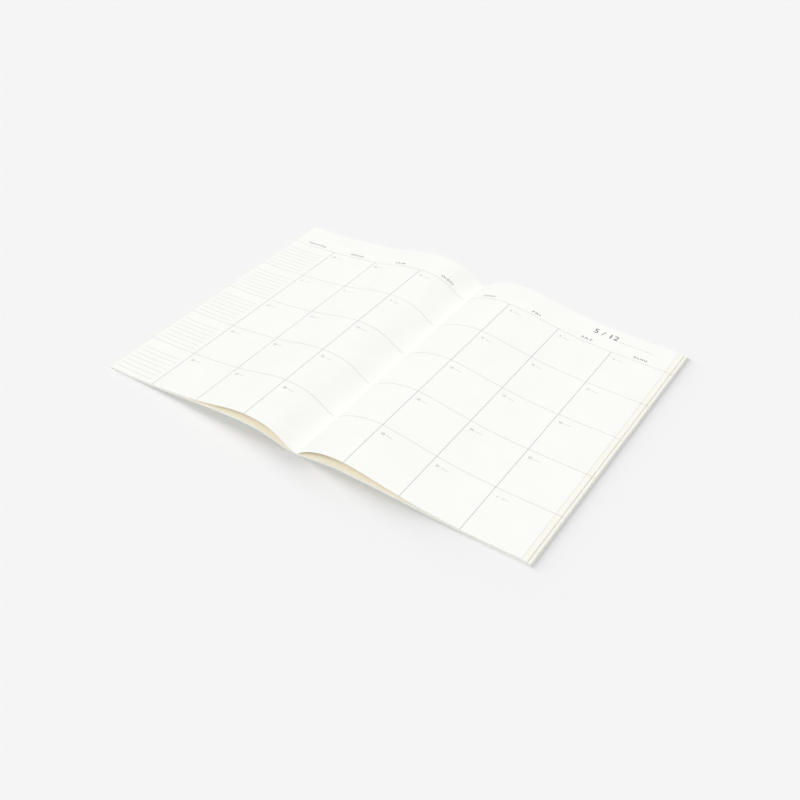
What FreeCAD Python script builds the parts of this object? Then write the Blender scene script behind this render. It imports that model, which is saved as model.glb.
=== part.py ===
import FreeCAD, Part
import os

import Sketcher
from FreeCAD import Vector

# Monthly calendar booklet lying open on a table, in millimetres.
# The origin is on the table under the middle of the fold. X runs across the spread, with the
# left half on the negative side, Y runs along the fold and Z is up.

doc = FreeCAD.newDocument("calendar_booklet")
sheet = doc.addObject("Spreadsheet::Sheet", "sizes")

# The driving dimensions: alias, value and what it measures.
SIZES = [
    ("leaf_width", 210.0, "cover from the fold to the fore-edge"),
    ("leaf_height", 297.0, "cover and leaves along the fold"),
    ("cover_thickness", 0.3, "card of the cover"),
    ("cover_air", 0.05, "air between the cover and the lowest leaf"),
    ("leaf_thickness", 0.3, "arched leaf with the air trapped against it"),
    ("left_stack", 1.45, "leaves lying on the front cover"),
    ("right_stack", 1.75, "leaves lying on the back cover"),
    ("fold_clearance", 0.3, "gap between the two halves at the fold"),
    ("spine_flat", 1.8, "fold to the end of the flat spine"),
    ("gutter_leaves", 0.9, "leaves pressed together under the gutter"),
    ("flat_strip", 15.0, "flat part of each half beside the fore-edge"),
    ("left_foot_step", 0.8, "lowest left leaf short of the cover's edge"),
    ("left_top_step", 3.0, "arched left leaf short of the cover's edge"),
    ("right_foot_step", 0.8, "lowest right leaf short of the cover's edge"),
    ("right_top_step", 6.8, "arched right leaf short of the cover's edge"),
    ("left_tunnel_start", 6.0, "fold to the tunnel under the left leaf"),
    ("right_tunnel_start", 2.5, "fold to the tunnel under the right leaf"),
    ("staple_wire", 0.5, "diameter of the staple wire"),
    ("staple_crown", 12.0, "staple between its legs, centre to centre"),
    ("staple_return", 4.0, "clinched end of a leg"),
    ("staple_rise", 0.9, "crown to clinched ends, centre to centre"),
    ("staple_spacing", 148.0, "between the two staples"),
    ("staple_offset", 0.9, "staples beside the fold"),
    ("staple_table_gap", 0.05, "crown above the table"),
    ("staple_clearance", 0.05, "around the wire in card and leaves"),
]

# How each half bends. Each row is one control point of the bend: its place is the distance from
# the fold, its height is that of the cover's underside, and its arch is how far the uppermost
# leaf stands off the leaves below it.
BENDS = {
    "left": [
        ("toe", 8.0, -0.3, 0.5),
        ("rise", 20.0, 4.4, 9.1),
        ("crest", 42.0, 9.0, 8.5),
        ("shoulder", 68.0, 8.9, 8.0),
        ("fall", 96.0, 6.9, 1.2),
        ("settle", 140.0, 2.9, 0.0),
    ],
    "right": [
        ("toe", 5.0, 0.6, 3.2),
        ("rise", 16.0, 2.9, 7.2),
        ("crest", 38.0, 5.6, 9.2),
        ("shoulder", 62.0, 4.3, 7.8),
        ("fall", 90.0, 3.4, 2.8),
        ("settle", 134.0, 0.5, 0.0),
    ],
}

for side, rows in BENDS.items():
    for name, place, height, arch in rows:
        SIZES.append((f"{side}_{name}_place", place, f"{side} half, {name} from the fold"))
        SIZES.append((f"{side}_{name}_height", height, f"{side} half, cover at the {name}"))
        SIZES.append((f"{side}_{name}_arch", arch, f"{side} half, leaf off the stack at the {name}"))


class Length:
    """A length and the formula in the sheet's aliases that it comes from."""

    def __init__(self, value, formula):
        self.value = value
        self.formula = formula

    def __add__(self, other):
        return Length(self.value + other.value, f"({self.formula} + {other.formula})")

    def __sub__(self, other):
        return Length(self.value - other.value, f"({self.formula} - {other.formula})")

    def __mul__(self, factor):
        return Length(self.value * factor, f"{self.formula} * {factor}")

    def __truediv__(self, divisor):
        return Length(self.value / divisor, f"{self.formula} / {divisor}")


length = {}
for row, (alias, value, meaning) in enumerate(SIZES, start=1):
    sheet.set(f"A{row}", alias)
    sheet.set(f"B{row}", str(value))
    sheet.set(f"C{row}", meaning)
    sheet.setAlias(f"B{row}", alias)
    length[alias] = Length(value, f"sizes.{alias}")
doc.recompute()

nothing = Length(0.0, "0")
leaf_width = length["leaf_width"]
leaf_height = length["leaf_height"]
cover_thickness = length["cover_thickness"]
leaf_thickness = length["leaf_thickness"]

fold_face = length["fold_clearance"] / 2
spine_flat = length["spine_flat"]
flat_start = leaf_width - length["flat_strip"]
spine_lift = length["staple_table_gap"] + length["staple_wire"]
lowest_leaf = cover_thickness + length["cover_air"]
gutter = (fold_face, spine_lift + lowest_leaf + length["gutter_leaves"])
crown_height = length["staple_table_gap"] + length["staple_wire"] / 2
clinch_height = crown_height + length["staple_rise"]
wire_room = length["staple_wire"] + length["staple_clearance"] * 2

# The middle of each staple along the fold.
STAPLES = {
    "staple_top": length["staple_spacing"] / 2,
    "staple_bottom": length["staple_spacing"] / -2,
}


def origin_plane(body, role):
    return next(plane for plane in body.Origin.OriginFeatures if plane.Role == role)


def new_sketch(body, name, role):
    sketch = body.newObject("Sketcher::SketchObject", name)
    sketch.AttachmentSupport = [(origin_plane(body, role), "")]
    sketch.MapMode = "FlatFace"
    sketch.Visibility = False
    return sketch


def vector(point):
    return Vector(point[0].value, point[1].value, 0)


def hold(sketch, geometry, end, point):
    """Ties one end of a line, or the centre of a circle, to its two lengths."""
    for kind, measure in zip(("DistanceX", "DistanceY"), point):
        constraint = Sketcher.Constraint(kind, -1, 1, geometry, end, measure.value)
        index = sketch.addConstraint(constraint)
        sketch.setExpression(f"Constraints[{index}]", measure.formula)


def join(sketch, first, first_end, second, second_end):
    constraint = Sketcher.Constraint("Coincident", first, first_end, second, second_end)
    sketch.addConstraint(constraint)


def add_bend(sketch, points):
    """A cubic spline with its control points tied to the sheet."""
    curve = Part.BSplineCurve()
    curve.buildFromPoles([vector(point) for point in points], False, 3)
    spline = sketch.addGeometry(curve, False)
    for index, point in enumerate(points):
        pole = sketch.addGeometry(Part.Circle(vector(point), Vector(0, 0, 1), 1), True)
        role = "InternalAlignment:Sketcher::BSplineControlPoint"
        sketch.addConstraint(Sketcher.Constraint(role, pole, 3, spline, index))
        sketch.addConstraint(Sketcher.Constraint("Weight", pole, 1.0))
        hold(sketch, pole, 3, point)
    return spline


def add_chain(sketch, points):
    """Straight lines from point to point, each corner tied to the sheet."""
    lines = []
    for start, end in zip(points, points[1:]):
        line = sketch.addGeometry(Part.LineSegment(vector(start), vector(end)), False)
        if lines:
            join(sketch, lines[-1], 2, line, 1)
            hold(sketch, line, 1, start)
        lines.append(line)
    return lines


def add_rectangle(sketch, centre, half_width, half_length):
    corners = []
    for across, along in ((-1, -1), (1, -1), (1, 1), (-1, 1)):
        corners.append((centre[0] + half_width * across, centre[1] + half_length * along))
    lines = add_chain(sketch, corners + corners[:1])
    join(sketch, lines[-1], 2, lines[0], 1)
    hold(sketch, lines[0], 1, corners[0])


def add_circle(sketch, centre, diameter):
    radius = diameter.value / 2
    circle = sketch.addGeometry(Part.Circle(vector(centre), Vector(0, 0, 1), radius), False)
    hold(sketch, circle, 3, centre)
    index = sketch.addConstraint(Sketcher.Constraint("Diameter", circle, diameter.value))
    sketch.setExpression(f"Constraints[{index}]", diameter.formula)


class Surface:
    """Control points of one bent surface of a half, and its height above the cover's underside.

    The inner spline runs from near the fold to the landing, halfway between its neighbours, so
    that the outer spline goes on from there to the flat part without a corner. A surface over
    the flat spine starts with a straight piece at the fold.
    """

    def __init__(self, side, lift, arched=False, start=None):
        rows = []
        for name, *_ in BENDS[side]:
            height = length[f"{side}_{name}_height"] + lift
            if arched:
                height = height + length[f"{side}_{name}_arch"]
            rows.append((length[f"{side}_{name}_place"], height))
        fall, settle = rows[-2:]
        landing = ((fall[0] + settle[0]) / 2, (fall[1] + settle[1]) / 2)
        meet = ((settle[0] + flat_start) / 2, lift)
        spine = [] if start else [(fold_face, spine_lift + lift)]
        start = start or (spine_flat, spine_lift + lift)

        self.lift = lift
        self.spine = turned(side, spine)
        self.inner = turned(side, [start] + rows[:-1] + [landing])
        self.outer = turned(side, [landing, settle, meet, (flat_start, lift)])


def turned(side, points):
    """Points of the right half, or their like on the left half."""
    way = -1 if side == "left" else 1
    return [(across * way, up) for across, up in points]


def add_section(sketch, side, low, high, low_step=nothing, high_step=nothing):
    """The closed outline of a bent stack between two surfaces, each short of the cover's edge."""
    fore_edge = turned(side, [
        (leaf_width - low_step, low.lift),
        (leaf_width - high_step, high.lift),
    ])
    low_near = add_bend(sketch, low.inner)
    low_far = add_bend(sketch, low.outer)
    edge = add_chain(sketch, [low.outer[-1]] + fore_edge + [high.outer[-1]])
    high_far = add_bend(sketch, high.outer)
    high_near = add_bend(sketch, high.inner)
    fold = add_chain(sketch, [high.inner[0]] + high.spine + low.spine + [low.inner[0]])

    join(sketch, low_far, 2, edge[0], 1)
    join(sketch, edge[-1], 2, high_far, 2)
    join(sketch, high_near, 1, fold[0], 1)
    join(sketch, fold[-1], 2, low_near, 1)


def new_body(label):
    body = doc.addObject("PartDesign::Body", label)
    body.Label = label
    return body


def pad_along_fold(body, sketch):
    pad = body.newObject("PartDesign::Pad", "height")
    pad.Profile = sketch
    pad.Midplane = True
    pad.setExpression("Length", leaf_height.formula)
    doc.recompute()


def cut(body, sketch, name, depth=None):
    """Cuts a sketch through the whole body both ways, or upwards to a depth."""
    whole = body.Shape.Volume
    pocket = body.newObject("PartDesign::Pocket", name)
    pocket.Profile = sketch
    if depth:
        pocket.Type = "Length"
        pocket.Reversed = True
        pocket.setExpression("Length", depth.formula)
    else:
        pocket.Type = "ThroughAll"
        pocket.Midplane = True
    doc.recompute()
    if not 0 < body.Shape.Volume < whole:
        raise ValueError(f"{name} removes nothing from {body.Label}")


def make_cover(label, side):
    """One half of the card cover, bent as it lies."""
    body = new_body(label)
    sketch = new_sketch(body, "section", "XZ_Plane")
    add_section(sketch, side, Surface(side, nothing), Surface(side, cover_thickness))
    pad_along_fold(body, sketch)
    return body


def make_pages(label, side):
    """The leaves of one half: a stack on the cover, and one arched leaf over a tunnel."""
    body = new_body(label)
    sketch = new_sketch(body, "section", "XZ_Plane")
    floor = lowest_leaf + length[f"{side}_stack"]
    lowest = Surface(side, lowest_leaf)
    uppermost = Surface(side, floor + leaf_thickness, arched=True, start=gutter)
    foot_step = length[f"{side}_foot_step"]
    top_step = length[f"{side}_top_step"]
    add_section(sketch, side, lowest, uppermost, foot_step, top_step)
    pad_along_fold(body, sketch)

    # The tunnel runs between the stack and the arched leaf, which meet again at the landing.
    outline = new_sketch(body, "tunnel_outline", "XZ_Plane")
    start = (length[f"{side}_tunnel_start"], spine_lift + floor)
    stack_top = Surface(side, floor, start=start).inner
    leaf_underside = Surface(side, floor, arched=True, start=start).inner
    add_bend(outline, stack_top)
    add_bend(outline, leaf_underside[:-1] + stack_top[-1:])
    cut(body, outline, "tunnel")
    return body


def add_leg_holes(cover):
    """A round hole in the card for each leg of each staple."""
    sketch = new_sketch(cover, "leg_holes_outline", "XY_Plane")
    for middle in STAPLES.values():
        for way in (-1, 1):
            centre = (length["staple_offset"], middle + length["staple_crown"] / 2 * way)
            add_circle(sketch, centre, wire_room)
    cut(cover, sketch, "leg_holes", clinch_height)


def add_clinch_room(pages):
    """A slot in the leaves for each staple's legs and clinched ends."""
    sketch = new_sketch(pages, "clinch_room_outline", "XY_Plane")
    half_width = wire_room / 2
    half_length = (length["staple_crown"] + wire_room) / 2
    for middle in STAPLES.values():
        add_rectangle(sketch, (length["staple_offset"], middle), half_width, half_length)
    cut(pages, sketch, "clinch_room", clinch_height + half_width)


def make_staple(label, middle):
    """A wire staple: crown under the cover, legs up through it, ends bent towards each other."""
    body = new_body(label)
    half_crown = length["staple_crown"] / 2
    path = new_sketch(body, "path", "YZ_Plane")
    stops = [
        (nothing, crown_height),
        (half_crown, crown_height),
        (half_crown, clinch_height),
        (half_crown - length["staple_return"], clinch_height),
    ]
    lines = add_chain(path, stops)
    hold(path, lines[0], 1, stops[0])
    hold(path, lines[-1], 2, stops[-1])
    wire = new_sketch(body, "wire", "XZ_Plane")
    add_circle(wire, (nothing, crown_height), length["staple_wire"])
    doc.recompute()
    half = body.newObject("PartDesign::AdditivePipe", "half")
    half.Profile = wire
    half.Spine = path
    half.Transition = "Round corner"
    doc.recompute()
    whole = body.newObject("PartDesign::Mirrored", "whole")
    whole.Originals = [half]
    whole.MirrorPlane = (origin_plane(body, "XZ_Plane"), [""])
    body.Tip = whole
    body.setExpression("Placement.Base.x", length["staple_offset"].formula)
    body.setExpression("Placement.Base.y", middle.formula)
    doc.recompute()
    return body


front_cover = make_cover("front_cover", "left")
left_pages = make_pages("left_pages", "left")
back_cover = make_cover("back_cover", "right")
add_leg_holes(back_cover)
right_pages = make_pages("right_pages", "right")
add_clinch_room(right_pages)
staples = [make_staple(label, middle) for label, middle in STAPLES.items()]

parts = [front_cover, left_pages, back_cover, right_pages] + staples
doc.recompute()
for item in doc.Objects:
    if "Invalid" in item.State or "Error" in item.State:
        raise ValueError(f"{item.Name} failed: {item.State}")
for part in parts:
    if part.Shape.isNull() or not part.Shape.isValid():
        raise ValueError(f"{part.Label} has no valid shape")

os.makedirs("parts", exist_ok=True)
for part in parts:
    part.Shape.exportStep(f"parts/{part.Label}.step")
    print(f"{part.Label}: {part.Shape.Volume:.0f} mm3")
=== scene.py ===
import math

import bpy
import numpy as np
from mathutils import Matrix, Vector


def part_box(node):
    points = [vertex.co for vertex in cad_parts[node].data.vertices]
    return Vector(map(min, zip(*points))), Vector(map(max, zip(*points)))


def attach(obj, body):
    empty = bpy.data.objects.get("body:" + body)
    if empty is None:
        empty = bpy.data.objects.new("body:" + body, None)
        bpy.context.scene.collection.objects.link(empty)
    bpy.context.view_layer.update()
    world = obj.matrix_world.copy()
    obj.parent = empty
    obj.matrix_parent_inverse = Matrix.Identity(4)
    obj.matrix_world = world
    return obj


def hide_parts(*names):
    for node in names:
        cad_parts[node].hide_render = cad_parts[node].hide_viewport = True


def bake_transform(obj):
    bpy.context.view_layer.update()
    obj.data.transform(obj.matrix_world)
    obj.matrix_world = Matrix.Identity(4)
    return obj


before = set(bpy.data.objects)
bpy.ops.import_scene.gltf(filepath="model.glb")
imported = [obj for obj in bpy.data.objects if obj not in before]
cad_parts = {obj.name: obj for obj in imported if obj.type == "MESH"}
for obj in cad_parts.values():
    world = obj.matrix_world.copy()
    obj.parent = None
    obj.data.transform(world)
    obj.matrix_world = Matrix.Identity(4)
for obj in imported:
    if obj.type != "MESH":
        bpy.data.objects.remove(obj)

bpy.ops.object.select_all(action="DESELECT")
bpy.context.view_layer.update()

# Metres. The left half lies on the negative side of X, Y runs along the fold and Z is up.
MM = 0.001
LEAF_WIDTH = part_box("back_cover")[1].x
NEAR_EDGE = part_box("back_cover")[0].y
LEAF_HEIGHT = -2 * NEAR_EDGE

COVER_THICKNESS = 0.3 * MM
LOWEST_LEAF = 0.35 * MM
FLAT_START = LEAF_WIDTH - 15 * MM
SPINE_FLAT = 1.8 * MM
SPINE_LIFT = 0.55 * MM
GUTTER_HEIGHT = 1.8 * MM
STACK = {"left": 1.45 * MM, "right": 1.75 * MM}
TOP_LIFT = {side: LOWEST_LEAF + stack + 0.3 * MM for side, stack in STACK.items()}
TOP_LEAF = 0.12 * MM
LEAF_AIR = 0.16
STACK_AIR = 0.05 * MM
# The body that each half's print is attached to.
BODY = {"left": "front_half", "right": "back_half"}
SIGN = {"left": -1, "right": 1}

# How each half bends, in millimetres: place from the fold, height of the cover's underside,
# and how far the uppermost leaf stands off the leaves below it.
BENDS = {
    "left": [
        (8, -0.3, 0.5), (20, 4.4, 9.1), (42, 9.0, 8.5),
        (68, 8.9, 8.0), (96, 6.9, 1.2), (140, 2.9, 0),
    ],
    "right": [
        (5, 0.6, 3.2), (16, 2.9, 7.2), (38, 5.6, 9.2),
        (62, 4.3, 7.8), (90, 3.4, 2.8), (134, 0.5, 0),
    ],
}

# How far short of the cover each leaf of a stack ends, in millimetres, lowest first.
FORE_EDGES = {
    "left": [0.3, 0.4, 0.5, 0.7, 0.8, 0.9, 1.1, 1.2, 1.5, 1.7, 1.8, 2.0],
    "right": [0.3, 0.4, 0.4, 0.5, 0.5, 3.2, 3.1, 3.1, 3.3, 3.2, 3.2, 3.4],
}
# How far from the fold the open leaf stands clear of the others, and so how far the
# painted shade inside the tunnels reaches.
TUNNEL_END = {"left": 117 * MM, "right": 106 * MM}
# How far short of the cover the uppermost leaf ends.
TOP_STEP = {"left": 2.4 * MM, "right": 8.0 * MM}

# Print. The columns are lines at these distances along the leaf from the fold, and the lowest
# of the rows ends at the near edge.
COLUMNS = {
    "left": [56.8 * MM, 111.0 * MM, 162.8 * MM],
    "right": [49.4 * MM, 101.5 * MM, 155.2 * MM],
}
FOOT_ROW = 53.6 * MM
ROW = 52.5 * MM
ROWS = 5
HEADER = FOOT_ROW + ROW * (ROWS - 1)
TITLE_DEPTH = 15.5 * MM
RULE_SPACING = 5.7 * MM
RULES = 7
FAN_SLIP = 0.06 * MM
PRINT_LIFT = 0.03 * MM
COLUMN_INK = 0.34 * MM
ROW_INK = 0.24 * MM
RULE_INK = 0.2 * MM
# The row lines stop this far from the fold.
ROW_START = {"left": 4 * MM, "right": 1.5 * MM}
# The rules keep this far from the fore-edge and from the last column line.
RULE_MARGINS = (3 * MM, 5.5 * MM)
HEADING_HEIGHT = 2.6 * MM
HEADING_LIFT = 3.7 * MM
HEADING_STRETCH = 1.8
MONTH_HEIGHT = 7 * MM
MONTH_MIDDLE = 140.5 * MM
WRITING_LINE = (154 * MM, 188 * MM)
# A day's number and dash, from the upper left corner of its field.
DAY_HEIGHT = 2.6 * MM
DAY_DROP = 9.5 * MM
DAY_MIDDLE = 6 * MM
DASH = (9 * MM, 15.5 * MM)
HEADINGS = {"left": ["WED", "TUE", "MON", "NOTES"], "right": ["THU", "FRI", "SAT", "SUN"]}


# Surfaces of the bent halves.

def sampled(poles):
    """Points along a smooth curve that its poles pull."""
    data = bpy.data.curves.new("bend", "CURVE")
    data.dimensions = "3D"
    spline = data.splines.new("NURBS")
    spline.points.add(len(poles) - 1)
    for point, (across, up) in zip(spline.points, poles):
        point.co = (across, 0, up, 1)
    spline.order_u = 4
    spline.use_endpoint_u = True
    spline.resolution_u = 40
    holder = bpy.data.objects.new("bend", data)
    mesh = bpy.data.meshes.new_from_object(holder)
    points = [(v.co.x, v.co.z) for v in mesh.vertices]
    bpy.data.objects.remove(holder)
    bpy.data.curves.remove(data)
    bpy.data.meshes.remove(mesh)
    return points


def surface(side, lift, arched=False):
    """Distance from the fold and height of points across one bent surface of a half."""
    rows = [
        (place * MM, height * MM + lift + arch * MM * arched)
        for place, height, arch in BENDS[side]
    ]
    fall, settle = rows[-2:]
    landing = ((fall[0] + settle[0]) / 2, (fall[1] + settle[1]) / 2)
    meet = ((settle[0] + FLAT_START) / 2, lift)
    spine = [] if arched else [(0, SPINE_LIFT + lift)]
    start = (0, GUTTER_HEIGHT) if arched else (SPINE_FLAT, SPINE_LIFT + lift)
    near = sampled([start] + rows[:-1] + [landing])
    far = sampled([landing, settle, meet, (FLAT_START, lift)])
    return np.array([*spine, *near, *far[1:], (LEAF_WIDTH, lift)])


# Places from the fold at which the sheets bend, closer together near the fold.
PLACES = np.concatenate([
    np.arange(0, 3, 0.3) * MM,
    np.arange(3, 160, 1) * MM,
    np.linspace(160 * MM, LEAF_WIDTH, 21),
])


class Half:
    """Heights of the surfaces of one half at each of the places."""

    def __init__(self, side):
        self.sign = SIGN[side]
        self.cover = self.heights(surface(side, 0))
        self.lowest = self.heights(surface(side, LOWEST_LEAF))
        self.top = self.heights(surface(side, TOP_LIFT[side], arched=True)) - PRINT_LIFT
        stack_top = self.heights(surface(side, LOWEST_LEAF + STACK[side]))
        self.stack_top = np.minimum(stack_top, self.top - TOP_LEAF - STACK_AIR)
        steps = np.hypot(np.diff(PLACES), np.diff(self.top))
        self.length = np.concatenate([[0], np.cumsum(steps)])

    def heights(self, points):
        return np.interp(PLACES, points[:, 0], points[:, 1])

    def share(self, part):
        """Heights of a surface part of the way up the stack."""
        return self.lowest + (self.stack_top - self.lowest) * part

    def strip(self, low, high, end):
        """Places with the heights under and over a sheet, from the fold to its fore-edge."""
        reach = np.concatenate([PLACES[PLACES < end - 0.1 * MM], [end]])
        return np.column_stack([
            reach * self.sign, np.interp(reach, PLACES, low), np.interp(reach, PLACES, high),
        ])

    def point(self, along):
        """Place and height on the uppermost leaf at a distance along it, and its slope."""
        place = np.interp(along, self.length, PLACES)
        height = np.interp(place, PLACES, self.top)
        slope = np.gradient(self.top, PLACES)
        return place, height, np.interp(place, PLACES, slope)


HALVES = {side: Half(side) for side in BENDS}


# Modelling.

def coordinates(obj):
    co = np.empty(len(obj.data.vertices) * 3, np.float32)
    obj.data.vertices.foreach_get("co", co)
    return co.reshape(-1, 3).astype(float)


def set_coordinates(obj, co):
    obj.data.vertices.foreach_set("co", co.astype(np.float32).ravel())
    obj.data.update()


def edit(*operators):
    """Runs operators in edit mode on everything selected there."""
    bpy.ops.object.mode_set(mode="EDIT")
    bpy.ops.mesh.select_all(action="SELECT")
    for operator, values in operators:
        operator(**values)
    bpy.ops.object.mode_set(mode="OBJECT")


def folded_sheet(name, left, right):
    """A closed sheet over both halves, from its left fore-edge across the fold to its right."""
    across = np.concatenate([left[:0:-1], right])
    segments = len(across) - 1
    bpy.ops.mesh.primitive_grid_add(x_subdivisions=segments, y_subdivisions=1, size=2)
    sheet = bpy.context.object
    sheet.name = sheet.data.name = name
    co = coordinates(sheet)
    column = np.rint((co[:, 0] + 1) / 2 * segments).astype(int)
    upper = np.column_stack([across[column, 0], co[:, 1] * LEAF_HEIGHT / 2, across[column, 2]])
    set_coordinates(sheet, upper)
    edit((bpy.ops.mesh.extrude_region_move, {"TRANSFORM_OT_translate": {"value": (0, 0, -MM)}}))
    co = coordinates(sheet)
    lower = np.array([v.select for v in sheet.data.vertices])
    place = co[lower, 0]
    co[lower, 2] = np.interp(place, across[:, 0], across[:, 1])
    set_coordinates(sheet, co)
    edit((bpy.ops.mesh.normals_make_consistent, {"inside": False}))
    bpy.ops.object.shade_smooth_by_angle(angle=math.radians(40))
    sheet.select_set(False)
    return sheet


def crossing(name, low, high, ends):
    """A sheet through the fold, shaped to the bends of the two halves."""
    strips = [HALVES[side].strip(low[side], high[side], ends[side]) for side in HALVES]
    sheet = folded_sheet(name, *strips)
    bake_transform(sheet)
    return sheet


def make_cover():
    low = {side: half.cover for side, half in HALVES.items()}
    high = {side: half.cover + COVER_THICKNESS for side, half in HALVES.items()}
    ends = dict.fromkeys(HALVES, LEAF_WIDTH)
    cover = crossing("cover", low, high, ends)
    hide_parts("front_cover", "back_cover")
    return cover


def make_leaves():
    """The leaves that lie on the cover, each one sheet through the fold."""
    leaves = []
    count = len(FORE_EDGES["left"])
    for index in range(count):
        under = (index + LEAF_AIR / 2) / count
        over = (index + 1 - LEAF_AIR / 2) / count
        low = {side: half.share(under) for side, half in HALVES.items()}
        high = {side: half.share(over) for side, half in HALVES.items()}
        ends = {side: LEAF_WIDTH - FORE_EDGES[side][index] * MM for side in HALVES}
        leaf = crossing(f"leaf_{index + 1:02d}", low, high, ends)
        leaves.append(leaf)
    return leaves


def make_open_leaf():
    """The uppermost leaf of both halves, arched over the leaves below."""
    low = {side: half.top - TOP_LEAF for side, half in HALVES.items()}
    high = {side: half.top for side, half in HALVES.items()}
    ends = {side: LEAF_WIDTH - TOP_STEP[side] for side in HALVES}
    return crossing("open_leaf", low, high, ends)


# Print, drawn flat and then laid on the uppermost leaf. X is the distance along the leaf from
# the fold, negative on the left, and Y is the distance from the near edge.

def lay(obj, side):
    """Moves flat print onto the bent leaf of one half."""
    co = coordinates(obj)
    half = HALVES[side]
    place, height, slope = half.point(np.abs(co[:, 0]))
    run = 1 / np.hypot(1, slope)
    lifted = PRINT_LIFT + co[:, 2]
    laid = np.column_stack([
        (place - slope * run * lifted) * half.sign,
        co[:, 1] + NEAR_EDGE,
        height + run * lifted,
    ])
    set_coordinates(obj, laid)
    return obj


def flat_bar(start, end, near, far):
    """A flat bar of ink with a division every millimetre across the leaf."""
    steps = max(1, round(abs(end - start) / MM))
    bpy.ops.mesh.primitive_grid_add(x_subdivisions=steps, y_subdivisions=1, size=1)
    bar = bpy.context.object
    co = coordinates(bar)
    co[:, 0] = start + (co[:, 0] + 0.5) * (end - start)
    co[:, 1] = near + (co[:, 1] + 0.5) * (far - near)
    set_coordinates(bar, co)
    bar.select_set(False)
    return bar


def joined(name, parts):
    bpy.ops.object.select_all(action="DESELECT")
    for part in parts:
        part.select_set(True)
    bpy.context.view_layer.objects.active = parts[0]
    bpy.ops.object.join()
    whole = bpy.context.object
    whole.name = whole.data.name = name
    whole.select_set(False)
    return whole


def leaf_end(side):
    """Distance along the uppermost leaf at its fore-edge."""
    half = HALVES[side]
    return np.interp(LEAF_WIDTH - TOP_STEP[side], PLACES, half.length)


def row_feet():
    """Distance of the lower line of each row from the near edge."""
    return [0] + [FOOT_ROW + ROW * index for index in range(ROWS - 1)]


def column_lines(side):
    sign = SIGN[side]
    bars = []
    for distance in COLUMNS[side]:
        middle = distance * sign
        bars.append(flat_bar(middle - COLUMN_INK / 2, middle + COLUMN_INK / 2, 0, HEADER))
    return lay(joined(f"{side}_column_lines", bars), side)


def row_lines(side):
    sign = SIGN[side]
    bars = []
    for middle in row_feet()[1:] + [HEADER]:
        ends = sorted([ROW_START[side] * sign, leaf_end(side) * sign])
        bars.append(flat_bar(*ends, middle - ROW_INK / 2, middle + ROW_INK / 2))
    return lay(joined(f"{side}_row_lines", bars), side)


def fan_marks(side):
    """The row lines where they show on the fanned leaves below the uppermost."""
    half = HALVES[side]
    count = len(FORE_EDGES[side])
    inner = LEAF_WIDTH - TOP_STEP[side]
    bars = []
    for index in range(count - 1, -1, -1):
        outer = LEAF_WIDTH - FORE_EDGES[side][index] * MM
        if outer - inner < 0.5 * MM:
            continue
        face = half.share((index + 1 - LEAF_AIR / 2) / count)[-1]
        for middle in row_feet()[1:] + [HEADER]:
            near = middle + FAN_SLIP * (count - index) - ROW_INK / 2
            bar = flat_bar(*sorted([inner * half.sign, outer * half.sign]), near, near + ROW_INK)
            co = coordinates(bar)
            co[:, 1] += NEAR_EDGE
            co[:, 2] = face + PRINT_LIFT
            set_coordinates(bar, co)
            bars.append(bar)
        inner = outer
    return joined(f"{side}_fan_marks", bars)


def note_rules():
    """The short ruled lines of the outer column on the left."""
    outer = -(leaf_end("left") - RULE_MARGINS[0])
    inner = -(COLUMNS["left"][-1] + RULE_MARGINS[1])
    bars = []
    for foot in row_feet():
        for index in range(1, RULES + 1):
            middle = foot + RULE_SPACING * index
            bars.append(flat_bar(outer, inner, middle - RULE_INK / 2, middle + RULE_INK / 2))
    return lay(joined("left_note_rules", bars), "left")


def lettering(text, cap_height, middle, baseline, stretch=1, spacing=1):
    """Flat letters with their foot on the baseline, stretched sideways about their middle."""
    bpy.ops.object.text_add(location=(0, 0, 0))
    letters = bpy.context.object
    letters.data.body = text
    letters.data.align_x = "CENTER"
    letters.data.space_character = spacing
    letters.data.size = cap_height / 0.73
    letters.data.resolution_u = 3
    bpy.ops.object.convert(target="MESH")
    letters = bpy.context.object
    co = coordinates(letters)
    co[:, 0] = middle + co[:, 0] * stretch
    co[:, 1] += baseline
    set_coordinates(letters, co)
    edit((bpy.ops.mesh.subdivide, {"number_cuts": 1}))
    letters.select_set(False)
    return letters


def headings(side):
    sign = SIGN[side]
    words = []
    borders = [0] + COLUMNS[side] + [leaf_end(side)]
    for inner, outer, word in zip(borders, borders[1:], HEADINGS[side]):
        middle = (inner + outer) / 2 * sign
        foot = HEADER + HEADING_LIFT
        words.append(lettering(word, HEADING_HEIGHT, middle, foot, HEADING_STRETCH, 1.1))
    return lay(joined(f"{side}_headings", words), side)


def month_number():
    foot = LEAF_HEIGHT - TITLE_DEPTH
    digits = lettering("5 / 12", MONTH_HEIGHT, MONTH_MIDDLE, foot, 1.05, 1.05)
    return lay(joined("month_number", [digits]), "right")


def write_on_line():
    foot = LEAF_HEIGHT - TITLE_DEPTH
    line = flat_bar(*WRITING_LINE, foot, foot + ROW_INK)
    return lay(joined("write_on_line", [line]), "right")


def day_numbers(side):
    """A small day number and a dash at the upper left of each day's field. The fields beside
    the fold on the right have none."""
    if side == "left":
        borders, before = [-distance for distance in reversed(COLUMNS[side])], 0
    else:
        borders, before = COLUMNS[side], 4
    parts = []
    for row in range(ROWS):
        for column, border in enumerate(borders):
            day = (row * 7 + column + before + 28) % 31 + 1
            baseline = HEADER - ROW * row - DAY_DROP
            dash = baseline + MM
            parts.append(lettering(str(day), DAY_HEIGHT, border + DAY_MIDDLE, baseline))
            parts.append(flat_bar(border + DASH[0], border + DASH[1], dash, dash + RULE_INK))
    return lay(joined(f"{side}_day_numbers", parts), side)


# Materials.

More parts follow.
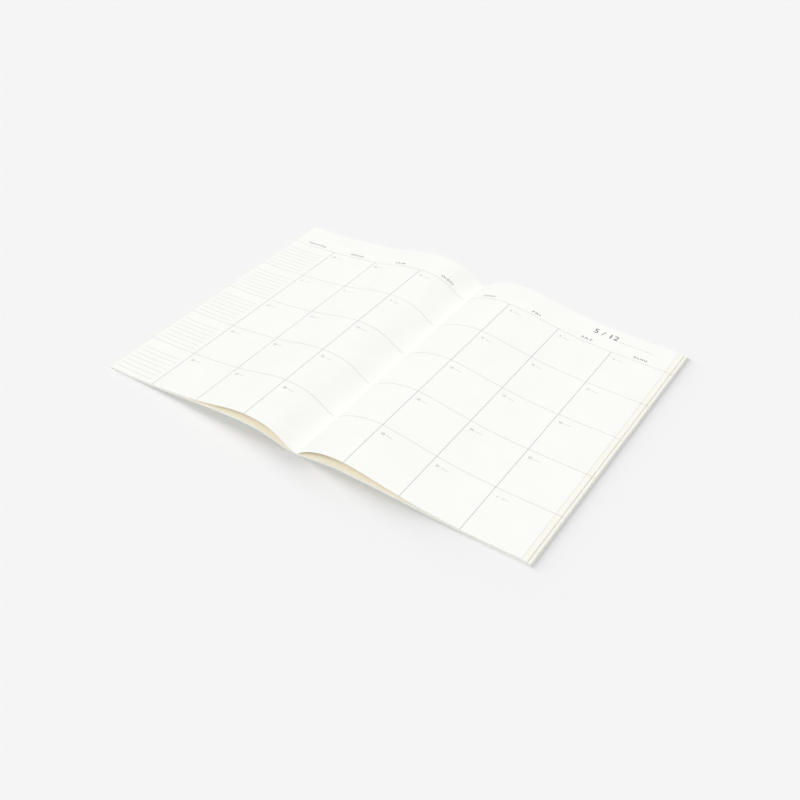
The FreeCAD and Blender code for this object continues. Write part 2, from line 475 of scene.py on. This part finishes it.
def new_material(name):
    material = bpy.data.materials.new(name)
    material.use_nodes = True
    tree = material.node_tree
    tree.nodes.clear()
    output = tree.nodes.new("ShaderNodeOutputMaterial")
    shader = tree.nodes.new("ShaderNodeBsdfPrincipled")
    tree.links.new(shader.outputs[0], output.inputs[0])
    return material, tree, shader


def linear(*levels):
    """A colour from its levels of 255."""
    return *(((level / 255 + 0.055) / 1.055) ** 2.4 for level in levels), 1


def fibre_group():
    """Fine tone and relief of pressed fibres: a mask around one half, and a height."""
    group = bpy.data.node_groups.new("fibres", "ShaderNodeTree")
    for name, default in (("Scale", 900), ("Cloud", 40)):
        socket = group.interface.new_socket(
            name=name, in_out="INPUT", socket_type="NodeSocketFloat",
        )
        socket.default_value = default
    group.interface.new_socket(name="Tone", in_out="OUTPUT", socket_type="NodeSocketFloat")
    group.interface.new_socket(name="Height", in_out="OUTPUT", socket_type="NodeSocketFloat")
    nodes, links = group.nodes, group.links
    entry, leave = nodes.new("NodeGroupInput"), nodes.new("NodeGroupOutput")
    place = nodes.new("ShaderNodeTexCoord")
    fine = nodes.new("ShaderNodeTexNoise")
    fine.inputs["Detail"].default_value = 4
    fine.inputs["Roughness"].default_value = 0.6
    cloud = nodes.new("ShaderNodeTexNoise")
    cloud.inputs["Detail"].default_value = 3
    mix = nodes.new("ShaderNodeMix")
    mix.inputs["Factor"].default_value = 0.5
    links.new(place.outputs["Object"], fine.inputs["Vector"])
    links.new(place.outputs["Object"], cloud.inputs["Vector"])
    links.new(entry.outputs["Scale"], fine.inputs["Scale"])
    links.new(entry.outputs["Cloud"], cloud.inputs["Scale"])
    links.new(fine.outputs[0], mix.inputs["A"])
    links.new(cloud.outputs[0], mix.inputs["B"])
    links.new(mix.outputs["Result"], leave.inputs["Tone"])
    links.new(fine.outputs[0], leave.inputs["Height"])
    return group


FIBRES = fibre_group()


def paper(name, dark, light, scale=900, cloud=40, relief=0.08, roughness=0.75):
    """Fibrous paper or card between two tones."""
    material, tree, shader = new_material(name)
    fibres = tree.nodes.new("ShaderNodeGroup")
    fibres.node_tree = FIBRES
    fibres.inputs["Scale"].default_value = scale
    fibres.inputs["Cloud"].default_value = cloud
    ramp = tree.nodes.new("ShaderNodeValToRGB")
    ramp.color_ramp.elements[0].position = 0.35
    ramp.color_ramp.elements[0].color = linear(*dark)
    ramp.color_ramp.elements[1].position = 0.65
    ramp.color_ramp.elements[1].color = linear(*light)
    bump = tree.nodes.new("ShaderNodeBump")
    bump.inputs["Strength"].default_value = relief
    bump.inputs["Distance"].default_value = 0.0001
    tree.links.new(fibres.outputs["Tone"], ramp.inputs[0])
    tree.links.new(ramp.outputs[0], shader.inputs["Base Color"])
    tree.links.new(fibres.outputs["Height"], bump.inputs["Height"])
    tree.links.new(bump.outputs[0], shader.inputs["Normal"])
    shader.inputs["Roughness"].default_value = roughness
    shader.inputs["Specular IOR Level"].default_value = 0.25
    return material


def ink(name, level):
    dark = [level - 6] * 3
    light = [level + 6] * 3
    return paper(name, dark, light, scale=2500, cloud=400, relief=0.02, roughness=0.65)


def brushed_steel():
    material, tree, shader = new_material("bright_wire")
    place = tree.nodes.new("ShaderNodeTexCoord")
    stretch = tree.nodes.new("ShaderNodeMapping")
    stretch.inputs["Scale"].default_value = (6000, 300, 6000)
    noise = tree.nodes.new("ShaderNodeTexNoise")
    noise.inputs["Scale"].default_value = 1
    ramp = tree.nodes.new("ShaderNodeValToRGB")
    ramp.color_ramp.elements[0].color = linear(176, 176, 178)
    ramp.color_ramp.elements[1].color = linear(214, 214, 214)
    rough = tree.nodes.new("ShaderNodeMapRange")
    rough.inputs["To Min"].default_value = 0.22
    rough.inputs["To Max"].default_value = 0.4
    tree.links.new(place.outputs["Object"], stretch.inputs["Vector"])
    tree.links.new(stretch.outputs[0], noise.inputs["Vector"])
    tree.links.new(noise.outputs[0], ramp.inputs[0])
    tree.links.new(noise.outputs[0], rough.inputs["Value"])
    tree.links.new(ramp.outputs[0], shader.inputs["Base Color"])
    tree.links.new(rough.outputs[0], shader.inputs["Roughness"])
    shader.inputs["Metallic"].default_value = 1
    return material


# The booklet.

page_paper = paper("page_paper", (246, 246, 243), (249, 249, 246))
# Painted shade: the leaves below the uppermost are the same paper, painted a little darker and
# yellower than the page for the shade on their stepped strips.
lower_leaf_shade = paper("lower_leaf_shade", (244, 244, 235), (247, 247, 239))
# Painted shade: a deeper, warmer cream for the faces inside the tunnels under the open leaf,
# standing in for the shaded light that bounces between the sheets.
shade_paper = paper("painted_tunnel_shade", (250, 243, 223), (252, 247, 231))
# Painted shade: where the lower leaves and the cover show past the uppermost leaf on the left,
# the same paper is painted darker.
fan_painted_shade = paper("fan_painted_shade", (228, 227, 212), (234, 233, 220), scale=1600)
# Painted shade: the leaves' fore-edges are painted darker than their faces, for the shade lines
# between the stepped leaves.
fore_edge_shade = paper("fore_edge", (206, 205, 190), (214, 213, 199), scale=1600)
# Painted shade: the near and far cut edges of the cover and the leaves are painted grey, for the
# shade they stand in.
side_edge_shade = paper("cut_edge_painted_shade", (225, 225, 220), (230, 230, 225), scale=1600)
cover_card = paper("cover_card", (240, 239, 228), (244, 243, 234), scale=600, relief=0.15)
column_ink = ink("column_ink", 150)
row_ink = ink("row_ink", 165)
rule_ink = ink("rule_ink", 170)
heading_ink = ink("heading_ink", 50)
number_ink = ink("number_ink", 60)
pale_ink = ink("pale_ink", 140)


def dress_sheet(sheet, face, edge, fore_edge, inside=None, faces_up=True, fan=None):
    """Materials for the faces, the cut edges, the fore-edges, the face inside a tunnel and the
    strip that fans out past the uppermost leaf on the left. The materials given for the tunnel
    face and the fanned strip are painted shade."""
    for material in (face, edge, fore_edge, inside or face, fan or face):
        sheet.data.materials.append(material)
    for polygon in sheet.data.polygons:
        normal = polygon.normal
        place = polygon.center.x
        reach = TUNNEL_END["left" if place < 0 else "right"]
        # Faces inside a tunnel, which take the painted tunnel shade.
        in_tunnel_shade = abs(place) < reach and (normal.z > 0) == faces_up
        if abs(normal.y) > 0.5:
            polygon.material_index = 1
        elif abs(normal.z) < 0.3:
            polygon.material_index = 2
        else:
            # The strip past the uppermost leaf on the left takes the painted fan shade.
            fanned = place < TOP_STEP["left"] - LEAF_WIDTH and normal.z > 0
            polygon.material_index = 3 if in_tunnel_shade else 4 if fanned else 0


cover = make_cover()
dress_sheet(cover, cover_card, side_edge_shade, cover_card, fan=fan_painted_shade)
leaves = make_leaves()
# The highest leaf of the stack takes the painted tunnel shade on its top inside the tunnels.
for leaf in leaves:
    inside = shade_paper if leaf is leaves[-1] else None
    dress_sheet(leaf, lower_leaf_shade, side_edge_shade, fore_edge_shade, inside, fan=fan_painted_shade)
open_leaf = make_open_leaf()
dress_sheet(open_leaf, page_paper, side_edge_shade, fore_edge_shade, shade_paper, faces_up=False)
for leaf in leaves + [open_leaf]:
    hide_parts("left_pages", "right_pages")

prints = [
    (month_number(), number_ink, "right"),
    (write_on_line(), row_ink, "right"),
    (note_rules(), rule_ink, "left"),
]
for side in HALVES:
    prints.append((column_lines(side), column_ink, side))
    prints.append((row_lines(side), row_ink, side))
    prints.append((fan_marks(side), row_ink, side))
    prints.append((headings(side), heading_ink, side))
    prints.append((day_numbers(side), pale_ink, side))
for drawn, colour, side in prints:
    drawn.data.materials.clear()
    drawn.data.materials.append(colour)
    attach(drawn, BODY[side])

wire = brushed_steel()
for name in ("staple_top", "staple_bottom"):
    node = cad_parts[name]
    node.data.materials.clear()
    node.data.materials.append(wire)


# Table, light and camera.

# Share of the light that comes evenly from all round, and each lamp's name, its turn, height
# and spread in degrees, its share of the light, whether it lights the table alone or all but
# the table, and whether it throws shadows.
SURROUND = 0.36
TABLE_TONE = (245, 245, 245)
# The table lies this far under the cover, so that the two faces don't coincide.
TABLE_GAP = 0.02 * MM
LIGHTS = [
    ("low_light", (170, 14, 22), 0.36, "INCLUDE", True),
    ("table_fill", (90, 80, 60), 0.28, "INCLUDE", False),
    ("high_light", (90, 89, 170), 0.36, "EXCLUDE", True),
    ("front_light", (-90, 46, 40), 0.31, "EXCLUDE", True),
]

# The viewpoint of the photograph.
LENS = 46.657
EYE = (0.40773, -0.61581, 0.55192)
SIGHT = (-0.43005, 0.64944, -0.62712)
LEVEL = (0.83280, 0.55357, 0.00217)


def make_floor():
    bpy.ops.mesh.primitive_circle_add(
        vertices=96, radius=12, fill_type="NGON", location=(0, 0, -TABLE_GAP),
    )
    floor = bpy.context.object
    floor.name = "table"
    material, tree, shader = new_material("table")
    shader.inputs["Base Color"].default_value = linear(*TABLE_TONE)
    shader.inputs["Roughness"].default_value = 1
    shader.inputs["Specular IOR Level"].default_value = 0
    floor.data.materials.append(material)
    floor.select_set(False)


def make_light():
    """The lamps over an even white surround, which looks like the table to camera and gloss."""
    world = bpy.data.worlds.new("surround")
    world.use_nodes = True
    bpy.context.scene.world = world
    nodes, links = world.node_tree.nodes, world.node_tree.links
    nodes.clear()
    output = nodes.new("ShaderNodeOutputWorld")
    glow = nodes.new("ShaderNodeBackground")
    glow.inputs["Color"].default_value = (1, 1, 1, 1)
    glow.inputs["Strength"].default_value = SURROUND
    seen = nodes.new("ShaderNodeBackground")
    seen.inputs["Color"].default_value = linear(*TABLE_TONE)
    rays = nodes.new("ShaderNodeLightPath")
    either = nodes.new("ShaderNodeMath")
    either.operation = "MAXIMUM"
    mix = nodes.new("ShaderNodeMixShader")
    any_ray = nodes.new("ShaderNodeMath")
    any_ray.operation = "MAXIMUM"
    links.new(rays.outputs["Is Camera Ray"], either.inputs[0])
    links.new(rays.outputs["Is Glossy Ray"], either.inputs[1])
    links.new(either.outputs[0], any_ray.inputs[0])
    links.new(rays.outputs["Is Transmission Ray"], any_ray.inputs[1])
    links.new(any_ray.outputs[0], mix.inputs[0])
    links.new(glow.outputs[0], mix.inputs[1])
    links.new(seen.outputs[0], mix.inputs[2])
    links.new(mix.outputs[0], output.inputs[0])

    table = bpy.data.objects["table"]
    for name, aim, share, state, shadow in LIGHTS:
        lamp = add_sun(name, aim, share)
        lamp.data.use_shadow = shadow
        limit_light(lamp, table, state)


def add_sun(name, aim, share):
    """An even soft light from its turn, height and spread, with its share of the light on a
    flat surface."""
    turn, height, spread = (math.radians(angle) for angle in aim)
    data = bpy.data.lights.new(name, "SUN")
    data.energy = share * math.pi / math.sin(height)
    data.angle = spread
    lamp = bpy.data.objects.new(name, data)
    towards = Vector((
        math.cos(turn) * math.cos(height), math.sin(turn) * math.cos(height), math.sin(height),
    ))
    lamp.rotation_euler = towards.to_track_quat("Z", "Y").to_euler()
    bpy.context.scene.collection.objects.link(lamp)
    return lamp


def limit_light(lamp, table, state):
    """The lamp lights the table alone, or all but the table."""
    lit = bpy.data.collections.new(lamp.name)
    lit.objects.link(table)
    lit.collection_objects[0].light_linking.link_state = state
    lamp.light_linking.receiver_collection = lit


def make_camera():
    data = bpy.data.cameras.new("camera")
    data.sensor_width = 36
    data.lens = LENS
    data.clip_start = 0.01
    camera = bpy.data.objects.new("camera", data)
    forward = Vector(SIGHT).normalized()
    right = Vector(LEVEL).normalized()
    up = right.cross(forward)
    turn = Matrix((right, up, -forward)).transposed().to_4x4()
    camera.matrix_world = Matrix.Translation(EYE) @ turn
    bpy.context.scene.collection.objects.link(camera)
    bpy.context.scene.camera = camera


make_floor()
make_light()
make_camera()
bpy.context.scene.view_settings.view_transform = "Standard"
